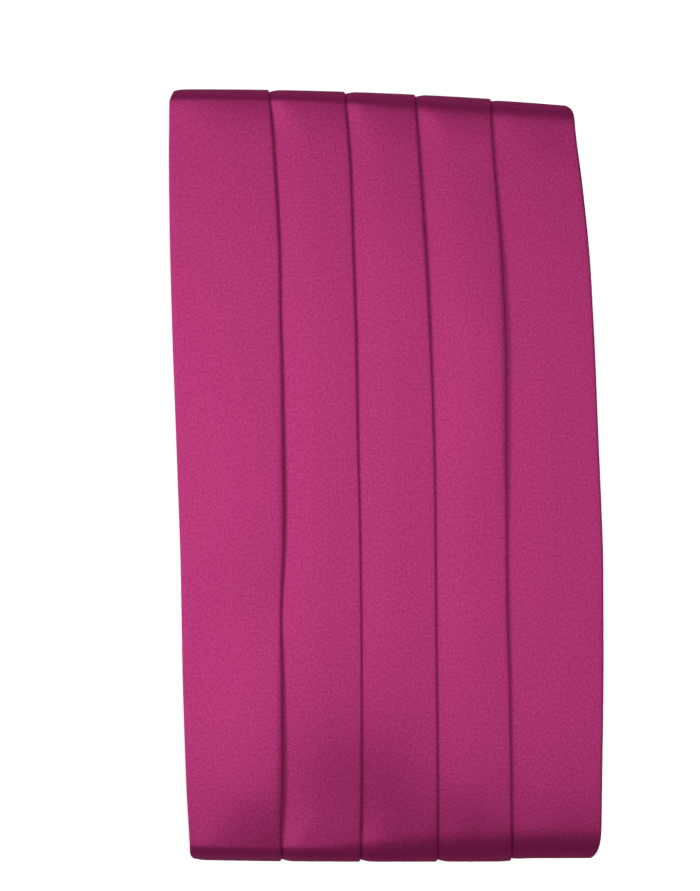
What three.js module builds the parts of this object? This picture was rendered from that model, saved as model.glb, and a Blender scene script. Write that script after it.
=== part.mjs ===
// Pleated satin cummerbund, fastened into its loop and folded flat in four layers, lying face up.
// Millimetres, +Z up, +X across the pleats and +Y along them. The origin is the middle of its footprint,
// on the surface that it lies on.
import * as THREE from "three";

// Pleated panel
const panelWidth = 140; // across the pleats, where the panel is widest
const panelEndWidth = 92; // across the pleats at each end of the panel
const faceLength = 257; // the stretch of panel that shows from above, fold to fold
const clothThickness = 1;
const tuckGap = 0.2; // between the cloth layers of one tuck
const tuckDepth = 11; // how far each pleat reaches under the one beside it
const hemDepth = 12; // cloth turned under along both long edges
const rampInset = 1.5; // from a tuck to where the cloth above it has come up to full height

// Folds across the panel
const bottomFoldReach = 13; // along the face, from the tip of the bottom fold to where the face starts
const topFoldInside = 2; // open height inside the top fold
const cornerInset = 2; // how much narrower the panel is at the tip of each fold
const faceRise = 7; // degrees by which the face climbs away from the bottom fold
const faceFall = 3; // degrees by which it drops towards the top fold
const crestPlace = -20; // where along the face it lies highest
const crestSlack = 1.5; // between the face and the layer under it, at the crest
const edgeDroop = 3; // how far the face's long edges hang below its middle, at the crest
const topSlant = 5.2; // how much lower the right end of the top fold lies than its left end
const bottomBow = 1.4; // how much the bottom fold bows out in its middle
const underEndInset = 14.5; // from the top fold to the end of the layer that lies on the surface
const innerEndInset = 28.5; // from the bottom fold to the end of the layer inside

// Back straps
const strapWidth = 32;
const strapThickness = 1.5;
const strapSewn = 15; // overlap of each strap on its end of the panel
const strapTurnOut = 5; // from the panel's end to where its strap turns back
const strapReturn = 18; // strap turned back round its clasp bar and sewn down
const strapBend = 0.9; // radius of the strap's middle line at the corners of a bar
const strapEase = 12; // length over which a strap changes its height

// Clasp
const claspThickness = 2.4;
const claspBar = 3; // width of the bar at each end
const claspSlot = 8; // width of each slot
const claspWeb = 9; // width of the solid middle
const claspRail = 3; // width of the rails beside the slots
const claspSideGap = 1; // between a strap's edge and the rail
const claspCorner = 2;

const gap = 0.3; // between pieces that touch
const layerSlack = 0.9; // between layers of the stack that only lie on each other

// The face from its bottom fold to its top fold: the place along it as a share of faceLength, and the two
// long edges and the four free pleat edges as shares of panelWidth from the middle line.
const faceRows = [
  { along: -0.5, left: -0.466, pleats: [-0.251, -0.061, 0.12, 0.296], right: 0.509 },
  { along: -0.27, left: -0.481, pleats: [-0.247, -0.061, 0.119, 0.294], right: 0.515 },
  { along: 0, left: -0.494, pleats: [-0.244, -0.067, 0.114, 0.284], right: 0.507 },
  { along: 0.2, left: -0.509, pleats: [-0.254, -0.079, 0.098, 0.274], right: 0.493 },
  { along: 0.36, left: -0.515, pleats: [-0.266, -0.085, 0.083, 0.265], right: 0.468 },
  { along: 0.5, left: -0.512, pleats: [-0.276, -0.098, 0.071, 0.241], right: 0.443 },
];

// Sections along each stretch of the panel
const underSteps = 6;
const bottomFoldSteps = 10;
const faceSteps = 10;
const topFoldSteps = 6;
const innerSteps = 7;
const cornerSteps = 3; // along the strap, round each corner of a bar
const turnSteps = 6; // along the strap, round each half turn

// Heights that follow from the layers
const layerPitch = clothThickness + tuckGap;
const panelThickness = 3 * clothThickness + 2 * tuckGap;
const strapLow = panelThickness + gap + strapThickness / 2;
const strapHigh = strapLow + strapThickness + gap;
const claspHeight = strapLow + strapThickness / 2 + gap + claspThickness / 2;
const loopRise = claspThickness / 2 + gap + strapThickness / 2;
const loopTop = claspHeight + loopRise + strapThickness / 2;
const bottomFoldInside = panelThickness + 2 * (strapThickness + layerSlack);
const bottomFoldCentre = panelThickness + bottomFoldInside / 2;
const innerEndHeight = strapLow + strapThickness / 2 + gap + panelThickness;
const innerTopHeight = strapHigh + strapThickness / 2 + layerSlack + panelThickness;
const innerCrestHeight = loopTop + layerSlack + panelThickness;
const faceTopHeight = innerTopHeight + topFoldInside;
const faceCrestHeight = innerCrestHeight + crestSlack;

// Places along the face
const bottomTip = -faceLength / 2;
const topTip = faceLength / 2;
const bottomFoldStart = bottomTip + bottomFoldReach;
const topFoldStart = topTip - panelThickness - topFoldInside / 2;
const underEnd = topTip - underEndInset;
const innerEnd = bottomTip + innerEndInset;

const probe = 0.01; // step over which a slope is measured
const radians = THREE.MathUtils.degToRad;

// A value between two ends with a given slope at each: span is the distance between the ends.
function easeCurve(from, slopeFrom, to, slopeTo, span, t) {
  const t2 = t * t;
  const t3 = t2 * t;
  return (
    (2 * t3 - 3 * t2 + 1) * from +
    (t3 - 2 * t2 + t) * span * slopeFrom +
    (3 * t2 - 2 * t3) * to +
    (t3 - t2) * span * slopeTo
  );
}

// The value of one column of faceRows at a place along the face, on a smooth curve through the rows.
function faceColumn(along, column) {
  const last = faceRows.length - 1;
  const place = THREE.MathUtils.clamp(along, faceRows[0].along, faceRows[last].along);
  let i = 0;
  while (i < last - 1 && place > faceRows[i + 1].along) i += 1;
  const slopeAt = (k) => {
    const a = faceRows[Math.max(k - 1, 0)];
    const b = faceRows[Math.min(k + 1, last)];
    return (column(b) - column(a)) / (b.along - a.along);
  };
  const span = faceRows[i + 1].along - faceRows[i].along;
  const t = (place - faceRows[i].along) / span;
  return easeCurve(column(faceRows[i]), slopeAt(i), column(faceRows[i + 1]), slopeAt(i + 1), span, t);
}

// Long edges and free pleat edges of the panel at a place along the face, in millimetres.
function outlineAt(place) {
  const along = place / faceLength;
  return {
    left: panelWidth * faceColumn(along, (row) => row.left),
    right: panelWidth * faceColumn(along, (row) => row.right),
    pleats: faceRows[0].pleats.map((_, i) => panelWidth * faceColumn(along, (row) => row.pleats[i])),
  };
}

// The outline of a layer under the face, which tapers from the fold that it comes from to its end.
function taperedOutline(fold, share) {
  const left = THREE.MathUtils.lerp(fold.left, -panelEndWidth / 2, share);
  const right = THREE.MathUtils.lerp(fold.right, panelEndWidth / 2, share);
  const scale = (right - left) / (fold.right - fold.left);
  return { left, right, pleats: fold.pleats.map((edge) => left + (edge - fold.left) * scale) };
}

// A cloth fold between two heights, as three points of the cloth's middle line with their outward sides.
// side is 1 for a fold that opens to the left and -1 for one that opens to the right.
function clothFold(tip, fromHeight, toHeight, side) {
  const radius = layerPitch / 2;
  const middle = (fromHeight + toHeight) / 2;
  const up = Math.sign(fromHeight - toHeight);
  const centre = tip - side * (radius + clothThickness / 2);
  return [up, 0, -up].map((rise) => {
    const out = rise === 0 ? side : 0;
    const turn = up * side;
    return { x: centre + out * radius, h: middle + rise * radius, nx: out * turn, nh: rise * turn };
  });
}

// The cross-section of the pleated cloth as a closed ring of points: x across the panel, h outwards from
// its back. The cloth runs from the left hem through four tucks to the right hem.
function clothRing({ left, right, pleats }) {
  const scale = (right - left) / panelWidth;
  const tuck = tuckDepth * scale;
  const hem = hemDepth * scale;
  const low = clothThickness / 2;
  const middle = low + layerPitch;
  const high = middle + layerPitch;
  const flat = (x, h) => ({ x, h, nx: 0, nh: 1 });
  const line = [{ x: left + hem, h: low, nx: 0, nh: -1 }];
  line.push(...clothFold(left, low, middle, -1));
  pleats.forEach((edge, i) => {
    if (i > 0) line.push(flat(pleats[i - 1] + rampInset, low));
    line.push(flat(edge - tuck - rampInset, high));
    line.push(...clothFold(edge, high, middle, 1));
    line.push(...clothFold(edge - tuck, middle, low, -1));
  });
  line.push(flat(pleats[pleats.length - 1] + rampInset, low));
  line.push(flat(right - hem - rampInset, middle));
  line.push(...clothFold(right, middle, low, 1));
  line.push({ x: right - hem, h: low, nx: 0, nh: -1 });
  const offset = (side) => (p) =>
    new THREE.Vector2(p.x + (side * p.nx * clothThickness) / 2, p.h + (side * p.nh * clothThickness) / 2);
  return [...line.map(offset(1)), ...line.map(offset(-1)).reverse()];
}

// Height of the back of the face layer, and of the layer inside, at a place along the face.
function faceHeight(place, start) {
  if (place < crestPlace) {
    const span = crestPlace - start.y;
    const t = (place - start.y) / span;
    return easeCurve(start.z, Math.tan(radians(faceRise)), faceCrestHeight, 0, span, t);
  }
  const span = topFoldStart - crestPlace;
  const slope = -Math.tan(radians(faceFall));
  return easeCurve(faceCrestHeight, 0, faceTopHeight, slope, span, (place - crestPlace) / span);
}

function innerHeight(place) {
  if (place > 0) {
    const slope = -Math.tan(radians(faceFall));
    return easeCurve(innerCrestHeight, 0, innerTopHeight, slope, topFoldStart, place / topFoldStart);
  }
  const slope = (2 * (innerEndHeight - innerCrestHeight)) / -innerEnd;
  return easeCurve(innerCrestHeight, 0, innerEndHeight, slope, -innerEnd, place / innerEnd);
}

// A point of the ellipse or circle inside a fold, at the place where the panel travels at this angle.
function foldPoint(centreY, centreZ, reach, rise, angle) {
  const out = { y: -Math.sin(angle), z: Math.cos(angle) };
  const length = Math.hypot(reach * out.y, rise * out.z);
  return {
    y: centreY + (reach * reach * out.y) / length,
    z: centreZ + (rise * rise * out.z) / length,
    angle,
  };
}

// The panel's stations from its lower end to its inner end: a point of its back, the angle at which it
// travels there in the YZ plane, and its outline.
function panelStations() {
  const stations = [];
  const add = (point, outline) => stations.push({ ...point, outline });
  const narrowed = (outline, angle) => {
    const inset = cornerInset * Math.sin(angle) ** 4;
    return { ...outline, left: outline.left + inset, right: outline.right - inset };
  };
  const bottomOutline = outlineAt(bottomTip);
  const topOutline = outlineAt(topTip);

  for (let i = 0; i < underSteps; i += 1) {
    const place = THREE.MathUtils.lerp(underEnd, bottomFoldStart, i / underSteps);
    const share = (place - bottomFoldStart) / (underEnd - bottomFoldStart);
    add({ y: place, z: panelThickness, angle: Math.PI }, taperedOutline(bottomOutline, share));
  }

  const insideReach = bottomFoldReach - panelThickness;
  const insideRise = bottomFoldInside / 2;
  for (let i = 0; i <= bottomFoldSteps; i += 1) {
    const angle = THREE.MathUtils.lerp(Math.PI, radians(faceRise), i / bottomFoldSteps);
    const point = foldPoint(bottomFoldStart, bottomFoldCentre, insideReach, insideRise, angle);
    add(point, narrowed(outlineAt(point.y), angle));
  }

  const start = stations[stations.length - 1];
  for (let i = 1; i < faceSteps; i += 1) {
    const place = THREE.MathUtils.lerp(start.y, topFoldStart, i / faceSteps);
    const climb = faceHeight(place + probe, start) - faceHeight(place - probe, start);
    const point = { y: place, z: faceHeight(place, start), angle: Math.atan2(climb, 2 * probe) };
    add(point, outlineAt(place));
  }

  const insideRadius = topFoldInside / 2;
  for (let i = 0; i <= topFoldSteps; i += 1) {
    const angle = -radians(faceFall) - (Math.PI * i) / topFoldSteps;
    const point = foldPoint(topFoldStart, faceTopHeight - insideRadius, insideRadius, insideRadius, angle);
    add(point, narrowed(topOutline, angle));
  }

  for (let i = 1; i <= innerSteps; i += 1) {
    const place = THREE.MathUtils.lerp(topFoldStart, innerEnd, i / innerSteps);
    const climb = innerHeight(place - probe) - innerHeight(place + probe);
    const share = (topFoldStart - place) / (topFoldStart - innerEnd);
    const angle = Math.atan2(climb, -2 * probe);
    add({ y: place, z: innerHeight(place), angle }, taperedOutline(topOutline, share));
  }
  return stations;
}

// The plan of the folded panel: its top fold slants and its bottom fold bows.
function settle(point) {
  const towardsTop = THREE.MathUtils.smoothstep(point.y, 0, topTip);
  const towardsBottom = THREE.MathUtils.smoothstep(-point.y, 0, topTip);
  const across = (point.x + panelWidth / 2) / panelWidth;
  const fromMiddle = (2 * point.x) / panelWidth;
  point.y += bottomBow * fromMiddle ** 2 * towardsBottom - topSlant * across ** 2 * towardsTop;
  return point;
}

// A closed mesh through a row of rings, each with the same number of points. The first half of a ring runs
// along one side of the cloth and the second half back along the other, so each end closes as a strip.
function loft(rings) {
  const count = rings[0].length;
  const positions = rings.flatMap((ring) => ring.flatMap((p) => [p.x, p.y, p.z]));
  const faces = [];
  const quad = (a, b, c, d) => faces.push(a, b, c, a, c, d);
  for (let r = 0; r < rings.length - 1; r += 1) {
    for (let i = 0; i < count; i += 1) {
      const a = r * count + i;
      const b = r * count + ((i + 1) % count);
      quad(a, b, b + count, a + count);
    }
  }
  const end = (rings.length - 1) * count;
  for (let i = 0; i < count / 2 - 1; i += 1) {
    const back = count - 1 - i;
    quad(i, back, back - 1, i + 1);
    quad(end + i, end + i + 1, end + back - 1, end + back);
  }
  const geometry = new THREE.BufferGeometry();
  geometry.setAttribute("position", new THREE.Float32BufferAttribute(positions, 3));
  geometry.setIndex(faces);
  geometry.computeVertexNormals();
  return geometry;
}

function pleatedFront() {
  const rings = panelStations().map(({ y, z, angle, outline }) => {
    const out = { y: -Math.sin(angle), z: Math.cos(angle) };
    const droop = (edgeDroop * (z - panelThickness)) / (faceCrestHeight - panelThickness);
    return clothRing(outline).map(({ x, y: h }) => {
      const sunk = droop * ((2 * x) / panelWidth) ** 2;
      return settle(new THREE.Vector3(x, y + out.y * h, z + out.z * h - sunk));
    });
  });
  return loft(rings);
}

// Points of an arc in the YZ plane, from one angle to another, in degrees.
function arc(centreY, centreZ, radius, from, to, steps) {
  return Array.from({ length: steps + 1 }, (_, i) => {
    const angle = radians(THREE.MathUtils.lerp(from, to, i / steps));
    return { y: centreY + radius * Math.cos(angle), z: centreZ + radius * Math.sin(angle) };
  });
}

// The stretch of strap that passes under its clasp bar, up through the slot and back over the bar, for the
// bar on the side where y is negative.
function barLoop() {
  const inner = -claspWeb / 2 - claspSlot + gap + strapThickness / 2 - strapBend;
  const outer = -claspWeb / 2 - claspSlot - claspBar;
  const low = claspHeight - loopRise;
  const high = claspHeight + loopRise;
  return [
    { y: outer, z: low },
    ...arc(inner, low + strapBend, strapBend, -90, 0, cornerSteps),
    ...arc(inner, high - strapBend, strapBend, 0, 90, cornerSteps),
    { y: outer, z: high },
    { y: outer - strapReturn / 2, z: strapHigh },
    { y: outer - strapReturn, z: strapHigh },
  ];
}

// A flat strap along a line in the YZ plane.
function strapGeometry(line) {
  const section = [
    new THREE.Vector2(-strapWidth / 2, strapThickness / 2),
    new THREE.Vector2(strapWidth / 2, strapThickness / 2),
    new THREE.Vector2(strapWidth / 2, -strapThickness / 2),
    new THREE.Vector2(-strapWidth / 2, -strapThickness / 2),
  ];
  const unit = (a, b) => new THREE.Vector2(b.y - a.y, b.z - a.z).normalize();
  const rings = line.map((point, i) => {
    const before = unit(line[Math.max(i - 1, 0)], line[Math.max(i, 1)]);
    const after = unit(line[Math.min(i, line.length - 2)], line[Math.min(i + 1, line.length - 1)]);
    const along = before.clone().add(after).normalize();
    const stretch = 1 / along.dot(after);
    return section.map(({ x, y: h }) => {
      const out = h * stretch;
      return new THREE.Vector3(x, point.y - along.y * out, point.z + along.x * out);
    });
  });
  return loft(rings);
}

// From the inner end of the panel, down round the end and back to the clasp.
function innerStrap() {
  const onPanel = (place) => ({ y: place, z: innerHeight(place) + gap + strapThickness / 2 });
  const turnAt = innerEnd - strapTurnOut;
  const high = onPanel(innerEnd).z;
  const radius = (high - strapLow) / 2;
  return strapGeometry([
    onPanel(innerEnd + strapSewn),
    onPanel(innerEnd + strapSewn / 2),
    onPanel(innerEnd),
    ...arc(turnAt, strapLow + radius, radius, 90, 270, turnSteps),
    ...barLoop(),
  ]);
}

// From the lower end of the panel, up round the end and back to the clasp.
function underStrap() {
  const turnAt = underEnd + strapTurnOut;
  const radius = (strapHigh - strapLow) / 2;
  const easeStart = underEnd - strapSewn - strapEase / 2;
  const mirrored = [
    { y: -(underEnd - strapSewn), z: strapLow },
    ...arc(-turnAt, strapLow + radius, radius, 270, 90, turnSteps),
    { y: -easeStart, z: strapHigh },
    { y: -(easeStart - strapEase), z: strapLow },
    ...barLoop(),
  ];
  return strapGeometry(mirrored.map(({ y, z }) => ({ y: -y, z })));
}

function claspGeometry() {
  const slotWidth = strapWidth + 2 * claspSideGap;
  const halfWidth = slotWidth / 2 + claspRail;
  const halfLength = claspWeb / 2 + claspSlot + claspBar;
  const outline = new THREE.Shape();
  const cornerX = halfWidth - claspCorner;
  const cornerY = halfLength - claspCorner;
  outline.absarc(cornerX, cornerY, claspCorner, 0, Math.PI / 2);
  outline.absarc(-cornerX, cornerY, claspCorner, Math.PI / 2, Math.PI);
  outline.absarc(-cornerX, -cornerY, claspCorner, Math.PI, 1.5 * Math.PI);
  outline.absarc(cornerX, -cornerY, claspCorner, 1.5 * Math.PI, 2 * Math.PI);
  for (const side of [-1, 1]) {
    const near = (side * claspWeb) / 2;
    const far = side * (claspWeb / 2 + claspSlot);
    const slot = new THREE.Path();
    slot.moveTo(-slotWidth / 2, near);
    slot.lineTo(slotWidth / 2, near);
    slot.lineTo(slotWidth / 2, far);
    slot.lineTo(-slotWidth / 2, far);
    slot.closePath();
    outline.holes.push(slot);
  }
  return new THREE.ExtrudeGeometry(outline, { depth: claspThickness, bevelEnabled: false, curveSegments: 4 });
}

function piece(name, geometry, material) {
  const mesh = new THREE.Mesh(geometry, material);
  mesh.name = name;
  return mesh;
}

const satin = new THREE.MeshStandardMaterial({ color: 0xb4377a, roughness: 0.42, metalness: 0 });
const webbing = new THREE.MeshStandardMaterial({ color: 0x9c2c66, roughness: 0.8, metalness: 0 });
const plastic = new THREE.MeshStandardMaterial({ color: 0x1c1a1c, roughness: 0.45, metalness: 0 });

const front = piece("pleated_front", pleatedFront(), satin);
const clasp = piece("clasp", claspGeometry(), plastic);
clasp.position.z = claspHeight - claspThickness / 2;

const cummerbund = new THREE.Group();
cummerbund.add(front, clasp);
cummerbund.add(piece("inner_strap", innerStrap(), webbing));
cummerbund.add(piece("under_strap", underStrap(), webbing));

// The footprint's middle becomes the origin.
const middle = new THREE.Box3().setFromObject(front).getCenter(new THREE.Vector3());
cummerbund.position.set(-middle.x, -middle.y, 0);

const part = new THREE.Group();
part.add(cummerbund);
export default part;
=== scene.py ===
"""A pleated satin cummerbund, fastened at the back and folded flat on itself, seen from straight above.

Metres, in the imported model's frame: +X across the pleats, +Y along them, +Z up, on a surface at z = 0.
"""

import math

import bpy
import numpy as np
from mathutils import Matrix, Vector


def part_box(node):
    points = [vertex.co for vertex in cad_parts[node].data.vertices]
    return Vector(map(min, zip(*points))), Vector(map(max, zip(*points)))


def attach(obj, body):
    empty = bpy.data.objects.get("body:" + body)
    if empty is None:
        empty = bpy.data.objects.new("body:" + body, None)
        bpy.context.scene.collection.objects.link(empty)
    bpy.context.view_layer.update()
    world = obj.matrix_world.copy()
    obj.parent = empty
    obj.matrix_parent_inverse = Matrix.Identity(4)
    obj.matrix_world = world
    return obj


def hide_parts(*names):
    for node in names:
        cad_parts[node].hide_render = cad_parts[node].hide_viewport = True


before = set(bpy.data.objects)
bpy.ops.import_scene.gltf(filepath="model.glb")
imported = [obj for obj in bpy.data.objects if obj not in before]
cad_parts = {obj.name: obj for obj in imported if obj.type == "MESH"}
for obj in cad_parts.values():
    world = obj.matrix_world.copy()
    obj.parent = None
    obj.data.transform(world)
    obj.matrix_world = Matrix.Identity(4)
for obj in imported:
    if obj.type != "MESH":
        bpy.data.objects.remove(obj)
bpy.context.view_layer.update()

# The panel's own sizes
PANEL_WIDTH = 0.140
PANEL_END_WIDTH = 0.092
FACE_LENGTH = 0.2573
TUCK_DEPTH = 0.011
HEM_DEPTH = 0.012
CAD_PANEL_THICKNESS = 0.0034
CLOTH = 0.00034  # thickness of the satin
LAYER_GAP = 0.00006
PITCH = CLOTH + LAYER_GAP
PANEL_THICKNESS = 3 * CLOTH + 2 * LAYER_GAP

# Folds across the panel
BOTTOM_FOLD_REACH = 0.0130
BOTTOM_TIGHT_REACH = 0.0062
ARCH_START = 0.018
TOP_FOLD_INSIDE = 0.002
TOP_FOLD_REACH = 0.007
TOP_TIGHT_REACH = 0.0045
# How far each corner of the folded panel is drawn in, in metres, and how gradually
CORNERS = {
    ("bottom", "left"): (0.0012, 14),
    ("bottom", "right"): (0.0028, 2.2),
    ("top", "left"): (0.0015, 1.6),
    ("top", "right"): (0.0023, 2.7),
}
FACE_FALL = math.radians(3.2)
FULLNESS = 5  # how late the face falls away towards its bottom fold
CREST_PLACE = -0.020
CREST_SLACK = 0.0021
EDGE_DROOP = 0.003
TOP_SLANT = 0.0059
BOTTOM_BOW = 0.0006
BOTTOM_FOLD_SWELL = 0.0025  # how far the bottom fold swells beyond the room that it needs
BOTTOM_SET_BACK = 0.0007  # how far the bottom fold steps back at its right end
SET_BACK_START = 0.036
SET_BACK_SPAN = 0.012
TIGHT_UNTIL = -0.034  # the folds are tight rolls up to here, and loose ones beyond TIGHT_FADE from it
TIGHT_FADE = 0.060
UNDER_END_INSET = 0.0145
INNER_END_INSET = 0.0285

# Soft dents in the face: where, how far they reach across and along, and how deep
DENTS = (
    (-0.008, -0.112, 0.030, 0.034, 0.0017),
    (-0.015, -0.116, 0.015, 0.024, 0.0011),
    (0.002, -0.126, 0.010, 0.022, 0.0014),
    (0.024, -0.122, 0.012, 0.012, 0.0008),
)

# Back straps and clasp
STRAP_WIDTH = 0.032
STRAP_THICKNESS = 0.0015
STRAP_SEWN = 0.015
STRAP_TURN_OUT = 0.005
STRAP_RETURN = 0.018
STRAP_BEND = 0.0009
STRAP_EASE = 0.012
STRAP_EDGE = 0.01  # square of the share of its thickness that a strap keeps at its edges
CLASP_THICKNESS = 0.0024
CLASP_BAR = 0.003
CLASP_SLOT = 0.008
CLASP_WEB = 0.009
CLASP_RAIL = 0.003
CLASP_SIDE_GAP = 0.001
CLASP_CORNER = 0.002
CLASP_BEVEL = 0.0004
SLOT_CORNER = 0.0012
GAP = 0.0003
LAYER_SLACK = 0.0009

# Heights of the layers
STRAP_LOW = CAD_PANEL_THICKNESS + GAP + STRAP_THICKNESS / 2
STRAP_HIGH = STRAP_LOW + STRAP_THICKNESS + GAP
CLASP_HEIGHT = STRAP_LOW + STRAP_THICKNESS / 2 + GAP + CLASP_THICKNESS / 2
LOOP_RISE = CLASP_THICKNESS / 2 + GAP + STRAP_THICKNESS / 2
LOOP_TOP = CLASP_HEIGHT + LOOP_RISE + STRAP_THICKNESS / 2
BOTTOM_FOLD_INSIDE = CAD_PANEL_THICKNESS + 2 * (STRAP_THICKNESS + LAYER_SLACK)
BOTTOM_FOLD_TOP = CAD_PANEL_THICKNESS + BOTTOM_FOLD_INSIDE + BOTTOM_FOLD_SWELL
INNER_END_HEIGHT = STRAP_LOW + STRAP_THICKNESS / 2 + GAP + CAD_PANEL_THICKNESS
INNER_TOP_HEIGHT = STRAP_HIGH + STRAP_THICKNESS / 2 + LAYER_SLACK + CAD_PANEL_THICKNESS
INNER_CREST_HEIGHT = LOOP_TOP + LAYER_SLACK + CAD_PANEL_THICKNESS
FACE_TOP_HEIGHT = INNER_TOP_HEIGHT + TOP_FOLD_INSIDE
FACE_CREST_HEIGHT = INNER_CREST_HEIGHT + CREST_SLACK

# Places along the face
BOTTOM_TIP = -FACE_LENGTH / 2
TOP_TIP = FACE_LENGTH / 2
BOTTOM_FOLD_START = BOTTOM_TIP + BOTTOM_FOLD_REACH
TOP_FOLD_START = TOP_TIP - CAD_PANEL_THICKNESS - TOP_FOLD_INSIDE / 2
UNDER_END = TOP_TIP - UNDER_END_INSET
INNER_END = BOTTOM_TIP + INNER_END_INSET

# The face from its bottom fold to its top fold. Edges are shares of PANEL_WIDTH from the middle line, and
# lifts are how far each free pleat edge stands off the pleat beside it, in millimetres.
EDGES = ("edge1", "edge2", "edge3", "edge4")
LIFTS = ("lift1", "lift2", "lift3", "lift4")
FACE_COLUMNS = ("along", "left", *EDGES, "right", *LIFTS)
FACE_ROWS = (
    (-0.50, -0.466, -0.252, -0.065, 0.119, 0.295, 0.508, 0.0, 0.0, 0.0, 0.0),
    (-0.46, -0.470, -0.251, -0.061, 0.120, 0.296, 0.509, 0.8, 0.4, 0.2, 0.3),
    (-0.40, -0.476, -0.247, -0.060, 0.120, 0.295, 0.510, 1.4, 0.35, 0.15, 0.3),
    (-0.27, -0.484, -0.248, -0.060, 0.118, 0.291, 0.513, 1.0, 0.05, 0.1, 0.4),
    (-0.18, -0.487, -0.251, -0.061, 0.116, 0.286, 0.513, 0.3, 0.1, 0.1, 0.6),
    (-0.10, -0.490, -0.245, -0.063, 0.115, 0.284, 0.512, 0.7, 0.1, 0.05, 0.4),
    (-0.04, -0.494, -0.244, -0.065, 0.114, 0.284, 0.508, 1.0, 0.1, 0.1, 0.6),
    (0.05, -0.500, -0.246, -0.069, 0.111, 0.283, 0.501, 0.8, 0.2, 0.15, 1.2),
    (0.15, -0.507, -0.249, -0.072, 0.105, 0.283, 0.494, 0.5, 0.3, 0.25, 1.3),
    (0.20, -0.510, -0.252, -0.074, 0.101, 0.281, 0.490, 0.4, 0.3, 0.4, 1.3),
    (0.30, -0.515, -0.255, -0.080, 0.092, 0.272, 0.480, 0.4, 0.3, 0.6, 0.8),
    (0.40, -0.5175, -0.265, -0.086, 0.080, 0.257, 0.462, 0.4, 0.3, 0.4, 0.4),
    (0.46, -0.517, -0.273, -0.094, 0.072, 0.249, 0.448, 0.4, 0.3, 0.3, 0.4),
    (0.50, -0.5165, -0.282, -0.101, 0.066, 0.246, 0.443, 0.0, 0.0, 0.0, 0.0),
)
FACE_TABLE = np.array(FACE_ROWS)
MILLIMETRES = 1000  # in a metre

PLEAT_CROWN = 0.00008  # how far each pleat stands proud of a straight line across it
LIP_PUFF = 0.00005  # how full each free edge is, beyond the cloth's own thickness
LIP_OPENING = 0.5  # share of a free edge's lift that fills its turn
LIP_RISE = 0.2  # share of the lift that raises the edge off the pleat beside it
LIP_SHOULDER = 1.7  # radius of a free edge's shoulder, as a share of that edge's height
LIP_TURN = math.radians(40)  # where the shoulder goes over into the closer turn
HEM_PUFF = 0.0003  # how full the right hem's edge is
HEM_STOP = 1.5  # how far the left hem stays clear of its own fold, in radii of the fold's outside

PRESSED = 0.022  # how far from a fold the pleats are pressed flat
PRESSED_RISE = 0.004  # width over which a pressed pleat comes up to its full height

# Points across the cloth
HEM_POINTS = 6
FOLD_POINTS = 9
PLEAT_POINTS = 23
PLEAT_GATHER = 0.06  # how far the points of a pleat gather towards its middle
SHOULDER_POINTS = 5
TURN_POINTS = 8
RETURN_POINTS = 7
STRAP_POINTS = 41

# Stations along the panel
UNDER_STATIONS = 30
BOTTOM_FOLD_STATIONS = 30
FACE_STATIONS = 92
TOP_FOLD_STATIONS = 22
INNER_STATIONS = 28
PROBE = 1e-5  # step to either side of a place when its slope is read


def ease(start, slope_start, end, slope_end, span, t):
    """A value between two ends with a given slope at each."""
    t2, t3 = t * t, t * t * t
    return (
        (2 * t3 - 3 * t2 + 1) * start
        + (t3 - 2 * t2 + t) * span * slope_start
        + (3 * t2 - 2 * t3) * end
        + (t3 - t2) * span * slope_end
    )


def smooth(t):
    """0 up to 0, 1 from 1 on, and level at both ends."""
    t = np.clip(t, 0, 1)
    return t * t * (3 - 2 * t)


def face_row(place):
    """Every column of the face's table at a place along it, on a smooth curve through the rows."""
    rows = FACE_TABLE
    along = min(max(place / FACE_LENGTH, rows[0, 0]), rows[-1, 0])
    i = min(max(int(np.searchsorted(rows[:, 0], along)) - 1, 0), len(rows) - 2)

    def slope(k):
        a, b = rows[max(k - 1, 0)], rows[min(k + 1, len(rows) - 1)]
        return (b - a) / (b[0] - a[0])

    span = rows[i + 1, 0] - rows[i, 0]
    t = (along - rows[i, 0]) / span
    values = ease(rows[i], slope(i), rows[i + 1], slope(i + 1), span, t)
    return dict(zip(FACE_COLUMNS, values))


def outline_at(place):
    """The face's long edges, its free pleat edges with their lifts, and how flat a fold presses it."""
    row = face_row(place)
    return {
        "left": PANEL_WIDTH * row["left"],
        "right": PANEL_WIDTH * row["right"],
        "edges": [PANEL_WIDTH * row[name] for name in EDGES],
        "lifts": [max(row[name], 0) / MILLIMETRES for name in LIFTS],
        "pressed": float(smooth((abs(place) - TOP_TIP + PRESSED) / PRESSED)),
    }


def tapered(fold, share):
    """The outline of a layer under the face, which narrows from its fold to its end."""
    left = fold["left"] + (-PANEL_END_WIDTH / 2 - fold["left"]) * share
    right = fold["right"] + (PANEL_END_WIDTH / 2 - fold["right"]) * share
    scale = (right - left) / (fold["right"] - fold["left"])
    return {
        "left": left,
        "right": right,
        "edges": [left + (edge - fold["left"]) * scale for edge in fold["edges"]],
        "lifts": [0.0] * 4,
        "pressed": 1.0,
    }


def half_turn(centre_x, centre_h, radius, downwards):
    """Points of a half circle in the cross-section, which bulges to the left."""
    angles = np.linspace(-90, 90, FOLD_POINTS)
    angles = np.radians(angles[::-1] if downwards else angles)
    return np.stack([centre_x - radius * np.cos(angles), centre_h + radius * np.sin(angles)], 1)


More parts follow.
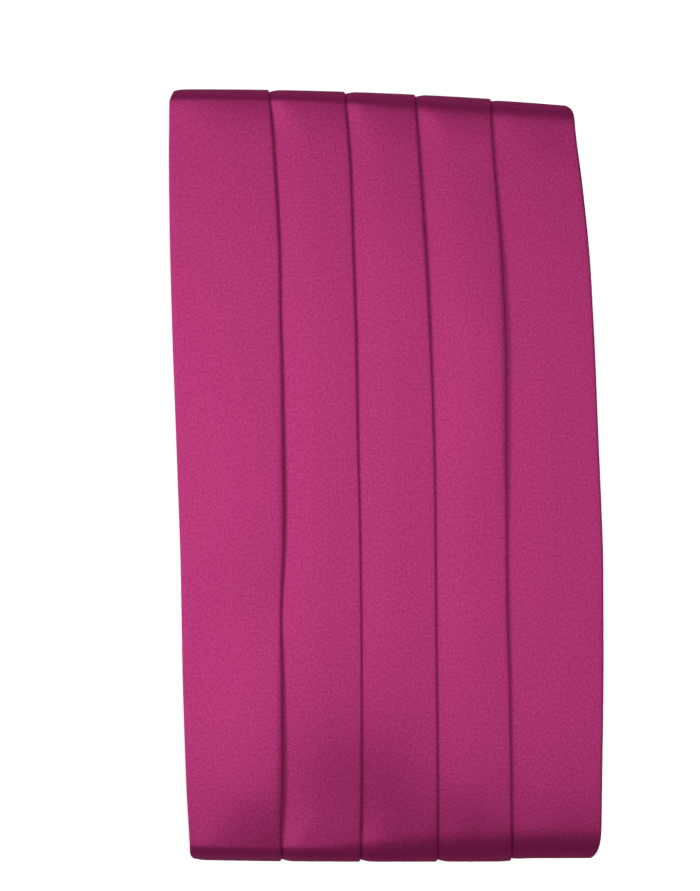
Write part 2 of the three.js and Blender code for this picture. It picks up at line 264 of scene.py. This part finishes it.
def soft_lip(x, h, height):
    """Points from the top of a free edge round to its underside: a broad shoulder, then a closer turn."""
    shoulder = LIP_SHOULDER * height
    close = (height - shoulder * (1 - math.cos(LIP_TURN))) / (1 + math.cos(LIP_TURN))
    centre_x = x + (shoulder - close) * math.sin(LIP_TURN)
    broad = np.linspace(0, LIP_TURN, SHOULDER_POINTS)[:-1]
    tight = np.linspace(LIP_TURN, math.pi, TURN_POINTS)
    over = np.stack([x + shoulder * np.sin(broad), h - shoulder * (1 - np.cos(broad))], 1)
    under = np.stack([centre_x + close * np.sin(tight), h - height + close * (1 + np.cos(tight))], 1)
    return np.concatenate([over, under])


def lip_extent(height):
    """How far a free edge reaches beyond the start of its shoulder."""
    return float(soft_lip(0, 0, height)[:, 0].max())


def cloth_line(outline):
    """The cloth's middle line across the panel, from the left hem through four tucks to the right hem."""
    left, right, edges, lifts = (outline[k] for k in ("left", "right", "edges", "lifts"))
    pressed = outline["pressed"]
    crown = PLEAT_CROWN * (1 - pressed)
    scale = (right - left) / PANEL_WIDTH
    tuck, hem = TUCK_DEPTH * scale, HEM_DEPTH * scale
    low = CLOTH / 2
    middle = low + PITCH
    high = middle + PITCH
    half = PITCH / 2
    reach = half + CLOTH / 2
    pieces = []

    def add(xs, hs):
        pieces.append(np.stack([xs, np.broadcast_to(hs, np.shape(xs))], 1))

    add(np.linspace(left + hem, left + reach * HEM_STOP, HEM_POINTS), low)
    pieces.append(half_turn(left + reach, low + half, half, False))
    start_x, start_h = left + reach, middle
    for i, (edge, lift) in enumerate(zip(edges, lifts)):
        puff = 2 * (LIP_PUFF * (1 - pressed) + LIP_OPENING * lift)
        rise = LIP_RISE * lift
        lip_x = edge - CLOTH / 2 - lip_extent(PITCH + puff)
        tuck_x = edge - tuck
        rise_from = edges[i - 1] if i else left

        # the pleat itself, from its start under the one before it to its free edge
        u = np.linspace(0, 1, PLEAT_POINTS)
        xs = start_x + (lip_x - start_x) * (u + PLEAT_GATHER * np.sin(2 * math.pi * u))
        rise_over = tuck_x - rise_from + (PRESSED_RISE - tuck_x + rise_from) * pressed
        t = np.clip((xs - rise_from) / rise_over, 0, 1)
        across = np.clip((xs - rise_from) / (lip_x - rise_from), 0, 1)
        hs = start_h + (high - start_h) * np.sin(math.pi / 2 * t) + crown * np.sin(math.pi * across)
        hs = hs + (rise + puff) * smooth(across)
        shared = 1 if i == 0 else 0  # the left hem's fold already has the first pleat's first point
        add(xs[shared:], hs[shared:])
        # round the free edge, back under it, and round the fold inside
        pieces.append(soft_lip(lip_x, high + rise + puff, PITCH + puff)[1:])
        under_x = pieces[-1][-1, 0]
        xs = np.linspace(under_x, tuck_x + reach, RETURN_POINTS)[1:]
        add(xs, middle + rise * smooth((xs - tuck_x - reach) / (under_x - tuck_x - reach)))
        pieces.append(half_turn(tuck_x + reach, low + half, half, True)[1:])
        start_x, start_h = tuck_x + reach + half, low
    u = np.linspace(0, 1, PLEAT_POINTS)
    puff = HEM_PUFF * (1 - pressed)
    end_x = right - CLOTH / 2 - lip_extent(PITCH + puff)
    xs = start_x + (end_x - start_x) * u
    rise_over = right - hem - edges[-1]
    rise_over += (PRESSED_RISE - rise_over) * pressed
    t = np.clip((xs - edges[-1]) / rise_over, 0, 1)
    across = np.clip((xs - edges[-1]) / (end_x - edges[-1]), 0, 1)
    hs = low + (middle - low) * np.sin(math.pi / 2 * t) + crown * np.sin(math.pi * across)
    add(xs, hs + puff * smooth(across))
    pieces.append(soft_lip(end_x, middle + puff, PITCH + puff)[1:])
    add(np.linspace(pieces[-1][-1, 0], right - hem, HEM_POINTS)[1:], low)
    return np.concatenate(pieces)


def offset_line(line, distance):
    """The line moved sideways, to its left as it runs."""
    ahead = np.diff(line, axis=0)
    ahead /= np.linalg.norm(ahead, axis=1)[:, None]
    normal = np.stack([-ahead[:, 1], ahead[:, 0]], 1)
    at = np.concatenate([normal[:1], normal[:-1] + normal[1:], normal[-1:]])
    at /= np.linalg.norm(at, axis=1)[:, None]
    return line + at * distance


def face_height(place, start, end):
    """The face's height between the ends of its two folds."""
    if place < CREST_PLACE:
        t = (CREST_PLACE - place) / (CREST_PLACE - start[0])
        return FACE_CREST_HEIGHT - (FACE_CREST_HEIGHT - start[1]) * t**FULLNESS
    span = end[0] - CREST_PLACE
    t = (place - CREST_PLACE) / span
    return ease(FACE_CREST_HEIGHT, 0, end[1], -math.tan(FACE_FALL), span, t)


def inner_height(place):
    """The height of the layer inside, between the top fold and the panel's inner end."""
    if place > 0:
        t = place / TOP_FOLD_START
        return ease(INNER_CREST_HEIGHT, 0, INNER_TOP_HEIGHT, -math.tan(FACE_FALL), TOP_FOLD_START, t)
    slope = 2 * (INNER_END_HEIGHT - INNER_CREST_HEIGHT) / -INNER_END
    return ease(INNER_CREST_HEIGHT, 0, INNER_END_HEIGHT, slope, -INNER_END, place / INNER_END)


def fold_point(centre_y, centre_z, reach, rise, angle):
    """The point of an ellipse in the YZ plane where it faces outwards at an angle from upright."""
    out_y, out_z = -math.sin(angle), math.cos(angle)
    length = math.hypot(reach * out_y, rise * out_z)
    return centre_y + reach * reach * out_y / length, centre_z + rise * rise * out_z / length


def narrowed(outline, end, angle):
    """The outline on a fold: as the face turns down, its corners draw in and its pleats lie down, and the
    layer below stays as narrow as the fold's tip."""
    (left, sharp), (right, blunt) = CORNERS[end, "left"], CORNERS[end, "right"]
    flat = max(math.cos(angle), 0)
    turn = abs(math.sin(angle)) if flat else 1.0
    return {
        **outline,
        "lifts": [lift * flat for lift in outline["lifts"]],
        "pressed": 1 - flat * (1 - outline["pressed"]),
        "left": outline["left"] + left * turn**sharp,
        "right": outline["right"] - right * turn**blunt,
    }


def panel_stations(bottom_reach, top_reach):
    """(y, z, angle, outline, shift) from the panel's lower end to its inner end, with folds of a given
    reach. y and z are a point of the panel's back, and shift is how far the cloth stands off that
    back, so that its outside keeps its place."""
    stations = []
    slack = CAD_PANEL_THICKNESS - PANEL_THICKNESS
    fold_start = BOTTOM_TIP + bottom_reach
    top_start = TOP_TIP - top_reach
    bottom = narrowed(outline_at(fold_start), "bottom", math.pi)
    top = narrowed(outline_at(top_start), "top", math.pi)
    for i in range(UNDER_STATIONS):
        place = UNDER_END + (fold_start - UNDER_END) * i / UNDER_STATIONS
        share = (place - fold_start) / (UNDER_END - fold_start)
        stations.append((place, CAD_PANEL_THICKNESS, math.pi, tapered(bottom, share), slack))
    reach = bottom_reach - CAD_PANEL_THICKNESS
    centre = (CAD_PANEL_THICKNESS + BOTTOM_FOLD_TOP) / 2
    fall = FULLNESS * (FACE_CREST_HEIGHT - BOTTOM_FOLD_TOP) / (CREST_PLACE - fold_start)
    for i in range(BOTTOM_FOLD_STATIONS + 1):
        angle = math.pi + (math.atan(fall) - math.pi) * i / BOTTOM_FOLD_STATIONS
        y, z = fold_point(fold_start, centre, reach, centre - CAD_PANEL_THICKNESS, angle)
        stations.append((y, z, angle, narrowed(outline_at(y), "bottom", angle), slack))
    start = (y, z)
    reach = top_reach - PANEL_THICKNESS
    rise = TOP_FOLD_INSIDE / 2 + slack
    centre = FACE_TOP_HEIGHT - TOP_FOLD_INSIDE / 2
    y, z = fold_point(top_start, centre, reach, rise, -FACE_FALL)
    end = (y - slack * math.sin(FACE_FALL), z - slack * math.cos(FACE_FALL))
    for i in range(1, FACE_STATIONS):
        place = start[0] + (end[0] - start[0]) * i / FACE_STATIONS
        height = face_height(place, start, end)
        climb = face_height(place + PROBE, start, end) - face_height(place - PROBE, start, end)
        stations.append((place, height, math.atan2(climb, 2 * PROBE), outline_at(place), slack))
    for i in range(TOP_FOLD_STATIONS + 1):
        angle = -FACE_FALL - math.pi * i / TOP_FOLD_STATIONS
        y, z = fold_point(top_start, centre, reach, rise, angle)
        stations.append((y, z, angle, narrowed(outline_at(y), "top", angle), 0.0))
    for i in range(1, INNER_STATIONS + 1):
        place = top_start + (INNER_END - top_start) * i / INNER_STATIONS
        climb = inner_height(place - PROBE) - inner_height(place + PROBE)
        share = (top_start - place) / (top_start - INNER_END)
        angle = math.atan2(climb, -2 * PROBE)
        stations.append((place, inner_height(place), angle, tapered(top, share), slack * (1 - share)))
    return stations


def settle(points):
    """The plan of the folded panel: its top fold slants, and its bottom fold bows and steps back."""
    x, y = points[:, 0], points[:, 1]
    towards_top, towards_bottom = smooth(y / TOP_TIP), smooth(-y / TOP_TIP)
    across = np.clip((x + PANEL_WIDTH / 2) / PANEL_WIDTH, 0, None)
    step_back = BOTTOM_SET_BACK * smooth((x - SET_BACK_START) / SET_BACK_SPAN)
    bow = np.where(x < 0, BOTTOM_BOW * (2 * x / PANEL_WIDTH) ** 2, step_back)
    points[:, 1] = y + bow * towards_bottom - TOP_SLANT * across**2 * towards_top
    return points


def loft(name, rings, uvs):
    """A closed mesh through rings of points. The first half of a ring runs along one side of the cloth and
    the second half back along the other, so each end closes as a strip."""
    count = len(rings[0])
    vertices = np.concatenate(rings)
    grid = np.arange(len(rings) * count).reshape(len(rings), count)
    a, b = grid[:-1], grid[1:]
    faces = np.stack([a, np.roll(a, -1, 1), np.roll(b, -1, 1), b], 2).reshape(-1, 4)
    i = np.arange(count // 2 - 1)
    back = count - 1 - i
    near = np.stack([i, back, back - 1, i + 1], 1)
    far = np.stack([i, i + 1, back - 1, back], 1) + grid[-1, 0]
    faces = np.concatenate([faces, near, far])
    mesh = bpy.data.meshes.new(name)
    mesh.from_pydata(vertices.tolist(), [], faces.tolist())
    layer = mesh.uv_layers.new(name="cloth")
    loops = np.empty(len(mesh.loops), dtype=np.int32)
    mesh.loops.foreach_get("vertex_index", loops)
    layer.data.foreach_set("uv", np.concatenate(uvs)[loops].astype(np.float32).ravel())
    mesh.polygons.foreach_set("use_smooth", np.ones(len(mesh.polygons), dtype=bool))
    mesh.update()
    piece = bpy.data.objects.new(name, mesh)
    bpy.context.scene.collection.objects.link(piece)
    return piece


def tightness(x):
    """How far the folds are tight rolls, 1 on the left of the panel and 0 on its right."""
    return 1 - smooth((x - TIGHT_UNTIL) / TIGHT_FADE)


def placed(station, line):
    """The cloth's points in space at a station, outer side first and then back along the inner side."""
    y, z, angle, outline, shift = station
    out_y, out_z = -math.sin(angle), math.cos(angle)
    ring = np.concatenate([offset_line(line, CLOTH / 2), offset_line(line, -CLOTH / 2)[::-1]])
    x, h = ring[:, 0], ring[:, 1] + shift
    if angle == math.pi:
        edge = (outline["right"] - outline["left"]) / 2
        arch = 1 - smooth((np.abs(x) - STRAP_WIDTH / 2) / (edge - STRAP_WIDTH / 2))
        h = h - shift * arch * smooth((y - BOTTOM_FOLD_START) / ARCH_START)
    crest = FACE_CREST_HEIGHT + CAD_PANEL_THICKNESS - 2 * PANEL_THICKNESS
    droop = EDGE_DROOP * (z + out_z * shift - PANEL_THICKNESS) / crest
    sunk = droop * (2 * x / PANEL_WIDTH) ** 2
    if out_z > 0:
        for at_x, at_y, reach_x, reach_y, depth in DENTS:
            sunk = sunk + depth * out_z * np.exp(-(((x - at_x) / reach_x) ** 2) - ((y - at_y) / reach_y) ** 2)
    return np.stack([x, y + out_y * h, z + out_z * h - sunk], 1)


def satin_front():
    """The folded panel, how far it was moved in plan, and the flat cloth's widest, mean width and length."""
    rings, uvs, lengths = [], [], []
    travelled = 0.0
    before = None
    soft_folds = panel_stations(BOTTOM_FOLD_REACH, TOP_FOLD_REACH)
    tight_folds = panel_stations(BOTTOM_TIGHT_REACH, TOP_TIGHT_REACH)
    for wide, tight in zip(soft_folds, tight_folds):
        line = cloth_line(wide[3])
        broad, close = placed(wide, line), placed(tight, cloth_line(tight[3]))
        share = tightness(broad[:, :1])
        rings.append(settle(broad + (close - broad) * share))
        y, z, angle = wide[:3]
        middle = np.array([y, z]) + np.array([-math.sin(angle), math.cos(angle)]) * CAD_PANEL_THICKNESS
        travelled += 0.0 if before is None else float(np.linalg.norm(middle - before))
        before = middle
        u = np.concatenate([[0], np.cumsum(np.linalg.norm(np.diff(line, axis=0), axis=1))])
        lengths.append(u[-1])
        u = np.concatenate([u, u[::-1]])
        uvs.append(np.stack([u, np.full(len(u), travelled)], 1))
    piece = loft("satin_front", rings, uvs)
    co = np.concatenate(rings)
    low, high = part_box("pleated_front")
    middle = (co.min(0) + co.max(0)) / 2
    shift = Vector(((low.x + high.x) / 2 - middle[0], (low.y + high.y) / 2 - middle[1], 0))
    for v in piece.data.vertices:
        v.co += shift
    return piece, shift, max(lengths), float(np.mean(lengths)), travelled


front, plan_shift, cut_width, mean_width, cut_length = satin_front()
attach(front, "root")
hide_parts("pleated_front")


def arc(centre_y, centre_z, radius, start, end, steps=14):
    """Points of a circular arc in the YZ plane, its angles in degrees from +Y."""
    angles = np.radians(np.linspace(start, end, steps + 1))
    return [(centre_y + radius * math.cos(a), centre_z + radius * math.sin(a)) for a in angles]


def run(start, end, step=0.002):
    """Points of a stretch that leaves one height level and reaches the other level."""
    (y0, z0), (y1, z1) = start, end
    count = max(2, round(abs(y1 - y0) / step))
    shares = np.arange(1, count) / count
    return [(y0 + (y1 - y0) * t, z0 + (z1 - z0) * smooth(t)) for t in shares]


def joined(*stretches):
    """One line through several stretches, with a run from the end of each to the start of the next."""
    line = list(stretches[0])
    for stretch in stretches[1:]:
        line += run(line[-1], stretch[0]) + list(stretch)
    return line


def bar_loop():
    """The strap under the clasp's bar, up through its slot and back over it, where y is negative."""
    inner = -CLASP_WEB / 2 - CLASP_SLOT + GAP + STRAP_THICKNESS / 2 - STRAP_BEND
    outer = -CLASP_WEB / 2 - CLASP_SLOT - CLASP_BAR
    low, high = CLASP_HEIGHT - LOOP_RISE, CLASP_HEIGHT + LOOP_RISE
    under = [(outer, low), *arc(inner, low + STRAP_BEND, STRAP_BEND, -90, 0)]
    over = [*arc(inner, high - STRAP_BEND, STRAP_BEND, 0, 90), (outer, high)]
    end = [(outer - STRAP_RETURN / 2, STRAP_HIGH), (outer - STRAP_RETURN, STRAP_HIGH)]
    return joined(under + over, end)


def inner_line():
    """The strap from the panel's inner end to the clasp."""
    def on_panel(place):
        return place, inner_height(place) + GAP + STRAP_THICKNESS / 2

    sewn = [on_panel(INNER_END + STRAP_SEWN * t) for t in (1, 0.8, 0.6, 0.4, 0.2, 0)]
    radius = (sewn[-1][1] - STRAP_LOW) / 2
    turn = arc(INNER_END - STRAP_TURN_OUT, STRAP_LOW + radius, radius, 90, 270)
    return joined(sewn, turn, bar_loop())


def under_line():
    """The strap from the panel's lower end to the clasp."""
    radius = (STRAP_HIGH - STRAP_LOW) / 2
    ease_start = UNDER_END - STRAP_SEWN - STRAP_EASE / 2
    sewn = [(-(UNDER_END - STRAP_SEWN), STRAP_LOW)]
    turn = arc(-(UNDER_END + STRAP_TURN_OUT), STRAP_LOW + radius, radius, 270, 90)
    eased = joined([(-ease_start, STRAP_HIGH)], [(-(ease_start - STRAP_EASE), STRAP_LOW)])
    return [(-y, z) for y, z in joined(sewn, turn, eased, bar_loop())]


def strap(name, line):
    """Flat webbing with round edges along a line in the YZ plane."""
    line = np.array(line)
    ahead = np.gradient(line, axis=0)
    ahead /= np.linalg.norm(ahead, axis=1)[:, None]
    radius = STRAP_THICKNESS / 2
    across = np.linspace(-1, 1, STRAP_POINTS)
    x = STRAP_WIDTH / 2 * np.sin(across * math.pi / 2)
    beyond = np.clip(np.abs(x) - (STRAP_WIDTH / 2 - radius), 0, radius) / radius
    h = radius * np.sqrt(np.clip(1 - beyond**2, STRAP_EDGE, 1))
    x, h = np.concatenate([x, x[::-1]]), np.concatenate([h, -h[::-1]])
    along = np.concatenate([[0], np.cumsum(np.linalg.norm(np.diff(line, axis=0), axis=1))])
    rings, uvs = [], []
    for (y, z), (ay, az), run_length in zip(line, ahead, along):
        rings.append(np.stack([x, y - az * h, z + ay * h], 1))
        uvs.append(np.stack([x, np.full(len(x), run_length)], 1))
    piece = loft(name, rings, uvs)
    for v in piece.data.vertices:
        v.co += plan_shift
    return piece, float(along[-1])


def rounded_rectangle(centre_y, half_x, half_y, radius, steps=6):
    points = []
    for corner, (sx, sy) in enumerate([(1, 1), (-1, 1), (-1, -1), (1, -1)]):
        for angle in np.radians(np.linspace(90 * corner, 90 * corner + 90, steps + 1)):
            x = sx * (half_x - radius) + radius * math.cos(angle)
            points.append((x, centre_y + sy * (half_y - radius) + radius * math.sin(angle)))
    return points


def moulded_clasp():
    """A moulded bar clasp with a slot for each strap."""
    slot_x = STRAP_WIDTH / 2 + CLASP_SIDE_GAP
    half_x = slot_x + CLASP_RAIL
    half_y = CLASP_WEB / 2 + CLASP_SLOT + CLASP_BAR
    slot_y = (CLASP_WEB + CLASP_SLOT) / 2
    outlines = [rounded_rectangle(0, half_x, half_y, CLASP_CORNER)]
    outlines += [rounded_rectangle(side * slot_y, slot_x, CLASP_SLOT / 2, SLOT_CORNER) for side in (-1, 1)]
    curve = bpy.data.curves.new("clasp_outline", "CURVE")
    curve.dimensions = "2D"
    curve.fill_mode = "BOTH"
    for outline in outlines:
        spline = curve.splines.new("POLY")
        spline.points.add(len(outline) - 1)
        for point, (x, y) in zip(spline.points, outline):
            point.co = (x, y, 0, 1)
        spline.use_cyclic_u = True
    curve.bevel_depth = CLASP_BEVEL
    curve.bevel_resolution = 3
    curve.offset = -CLASP_BEVEL
    curve.extrude = CLASP_THICKNESS / 2 - CLASP_BEVEL
    shape = bpy.data.objects.new("clasp_shape", curve)
    bpy.context.scene.collection.objects.link(shape)
    mesh = bpy.data.meshes.new_from_object(shape.evaluated_get(bpy.context.evaluated_depsgraph_get()))
    bpy.data.objects.remove(shape)
    piece = bpy.data.objects.new("moulded_clasp", mesh)
    for v in mesh.vertices:
        v.co += plan_shift + Vector((0, 0, CLASP_HEIGHT))
    bpy.context.scene.collection.objects.link(piece)
    return piece


inner_webbing, inner_length = strap("inner_webbing", inner_line())
under_webbing, under_length = strap("under_webbing", under_line())
clasp = moulded_clasp()
for webbing, node, length in (
    (inner_webbing, "inner_strap", inner_length),
    (under_webbing, "under_strap", under_length),
):
    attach(webbing, "root")
    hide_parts(node)
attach(clasp, "root")
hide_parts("clasp")


# Materials
def new_material(name):
    material = bpy.data.materials.new(name)
    material.use_nodes = True
    nodes, links = material.node_tree.nodes, material.node_tree.links
    return material, nodes, links, nodes["Principled BSDF"]


def noise(nodes, links, coordinates, scale, detail=2):
    """A noise texture whose scale differs along u and v."""
    mapping = nodes.new("ShaderNodeMapping")
    mapping.inputs["Scale"].default_value = (*scale, 1)
    links.new(coordinates, mapping.inputs["Vector"])
    texture = nodes.new("ShaderNodeTexNoise")
    texture.inputs["Scale"].default_value = 1.0
    texture.inputs["Detail"].default_value = detail
    links.new(mapping.outputs["Vector"], texture.inputs["Vector"])
    return texture.outputs["Fac"]


def spread(nodes, links, value, low, high):
    """The value stretched so that low becomes 0 and high becomes 1."""
    stretched = nodes.new("ShaderNodeMapRange")
    stretched.inputs["From Min"].default_value = low
    stretched.inputs["From Max"].default_value = high
    links.new(value, stretched.inputs["Value"])
    return stretched.outputs["Result"]


def blend_colours(nodes, links, share, first, second):
    mixed = nodes.new("ShaderNodeMix")
    mixed.data_type = "RGBA"
    mixed.inputs["A"].default_value = (*first, 1)
    mixed.inputs["B"].default_value = (*second, 1)
    links.new(share, mixed.inputs["Factor"])
    return mixed.outputs["Result"]


def roughen(nodes, links, shader, height, strength, distance):
    """Fine relief, in metres, from a texture's value."""
    bump = nodes.new("ShaderNodeBump")
    bump.inputs["Strength"].default_value = strength
    bump.inputs["Distance"].default_value = distance
    links.new(height, bump.inputs["Height"])
    links.new(bump.outputs["Normal"], shader.inputs["Normal"])


def satin_material():
    """Satin whose sheen runs with its threads, over a fine grain."""
    material, nodes, links, shader = new_material("satin")
    shader.inputs["Metallic"].default_value = 0.6
    shader.inputs["Roughness"].default_value = 0.55
    shader.inputs["Anisotropic"].default_value = 0.7
    shader.inputs["Specular IOR Level"].default_value = 0.85
    shader.inputs["Specular Tint"].default_value = (0.97, 0.67, 0.79, 1)
    uv = nodes.new("ShaderNodeUVMap")
    uv.uv_map = "cloth"
    threads = nodes.new("ShaderNodeTangent")
    threads.direction_type = "UV_MAP"
    threads.uv_map = "cloth"
    links.new(threads.outputs["Tangent"], shader.inputs["Tangent"])
    grain = noise(nodes, links, uv.outputs["UV"], (1350, 1150), 1)
    tone = spread(nodes, links, grain, 0.3, 0.7)
    colour = blend_colours(nodes, links, tone, (0.402, 0.024, 0.158), (0.474, 0.049, 0.216))
    links.new(colour, shader.inputs["Base Color"])
    roughen(nodes, links, shader, grain, 0.5, 0.00005)
    return material


def webbing_material():
    """Ribbed narrow webbing: warp ribs along the strap, crossed by fine weft ridges."""
    material, nodes, links, shader = new_material("webbing")
    shader.inputs["Roughness"].default_value = 0.72
    shader.inputs["Sheen Weight"].default_value = 0.3
    shader.inputs["Sheen Tint"].default_value = (1.0, 0.6, 0.85, 1)
    uv = nodes.new("ShaderNodeUVMap")
    uv.uv_map = "cloth"
    ribs = nodes.new("ShaderNodeTexWave")
    ribs.inputs["Scale"].default_value = 240
    weft = nodes.new("ShaderNodeTexWave")
    weft.bands_direction = "Y"
    weft.inputs["Scale"].default_value = 420
    for wave in (ribs, weft):
        links.new(uv.outputs["UV"], wave.inputs["Vector"])
    woven = nodes.new("ShaderNodeMath")
    woven.operation = "MULTIPLY_ADD"
    links.new(weft.outputs["Fac"], woven.inputs[0])
    woven.inputs[1].default_value = 0.5
    links.new(ribs.outputs["Fac"], woven.inputs[2])
    tone = spread(nodes, links, woven.outputs[0], 0, 1.5)
    colour = blend_colours(nodes, links, tone, (0.20, 0.012, 0.080), (0.34, 0.028, 0.145))
    links.new(colour, shader.inputs["Base Color"])
    roughen(nodes, links, shader, woven.outputs[0], 0.8, 0.00015)
    return material


def plastic_material():
    """Moulded plastic with a fine spark-eroded grain."""
    material, nodes, links, shader = new_material("clasp_plastic")
    shader.inputs["Roughness"].default_value = 0.42
    where = nodes.new("ShaderNodeTexCoord")
    grain = noise(nodes, links, where.outputs["Object"], (2600, 2600), 2)
    colour = blend_colours(nodes, links, grain, (0.010, 0.009, 0.010), (0.020, 0.018, 0.020))
    links.new(colour, shader.inputs["Base Color"])
    roughen(nodes, links, shader, grain, 0.4, 0.00003)
    return material


front.data.materials.append(satin_material())
webbing_finish = webbing_material()
inner_webbing.data.materials.append(webbing_finish)
under_webbing.data.materials.append(webbing_finish)
clasp.data.materials.append(plastic_material())

# Floor
FLOOR_SIZE = 4.0
floor_mesh = bpy.data.meshes.new("floor")
far = FLOOR_SIZE / 2
floor_corners = [(-far, -far, 0), (far, -far, 0), (far, far, 0), (-far, far, 0)]
floor_mesh.from_pydata(floor_corners, [], [(0, 1, 2, 3)])
floor = bpy.data.objects.new("floor", floor_mesh)
bpy.context.scene.collection.objects.link(floor)
floor_material, _, _, floor_shader = new_material("pale_floor")
floor_shader.inputs["Base Color"].default_value = (0.93, 0.93, 0.93, 1)
floor_shader.inputs["Metallic"].default_value = 0.75
floor_shader.inputs["Roughness"].default_value = 0.3
floor.data.materials.append(floor_material)


# Light
def softbox(name, place, size, power):
    """A square light that faces the origin."""
    light = bpy.data.lights.new(name, "AREA")
    light.shape = "SQUARE"
    light.size = size
    light.energy = power
    lamp = bpy.data.objects.new(name, light)
    lamp.location = place
    lamp.rotation_euler = (-Vector(place)).to_track_quat("-Z", "Y").to_euler()
    bpy.context.scene.collection.objects.link(lamp)


softbox("key", (-1.45, 0.0, 1.45), 0.9, 16.3)
softbox("overhead", (0.1, 0.0, 2.3), 1.3, 8.9)
softbox("fill", (1.2, 0.0, 1.7), 0.9, 5.0)
softbox("back", (0.2, 2.2, 0.75), 1.2, 2.5)
world = bpy.data.worlds.new("studio")
world.use_nodes = True
world.node_tree.nodes["Background"].inputs["Color"].default_value = (1, 1, 1, 1)
world.node_tree.nodes["Background"].inputs["Strength"].default_value = 0.09
bpy.context.scene.world = world
bpy.context.scene.view_settings.view_transform = "Standard"
bpy.context.scene.view_settings.look = "Medium High Contrast"

# Camera, straight above. The photograph is 891 pixels high, and 3 of them span a millimetre.
PHOTO_WIDTH, PHOTO_HEIGHT = 700, 891
PIXELS_PER_METRE = 3000
OBJECT_MIDDLE = (386, 475.7)  # where the photograph has the middle of the object
CAMERA_HEIGHT = 1.6
SCALE_HEIGHT = 0.0085  # height above the floor at which 3 pixels span a millimetre
SENSOR = 36
frame_height = PHOTO_HEIGHT / PIXELS_PER_METRE
camera_data = bpy.data.cameras.new("camera")
camera_data.sensor_fit = "VERTICAL"
camera_data.sensor_height = SENSOR
camera_data.lens = SENSOR * (CAMERA_HEIGHT - SCALE_HEIGHT) / frame_height
camera = bpy.data.objects.new("camera", camera_data)
camera.location = (
    (PHOTO_WIDTH / 2 - OBJECT_MIDDLE[0]) / PIXELS_PER_METRE,
    (OBJECT_MIDDLE[1] - PHOTO_HEIGHT / 2) / PIXELS_PER_METRE,
    CAMERA_HEIGHT,
)
bpy.context.scene.collection.objects.link(camera)
bpy.context.scene.camera = camera
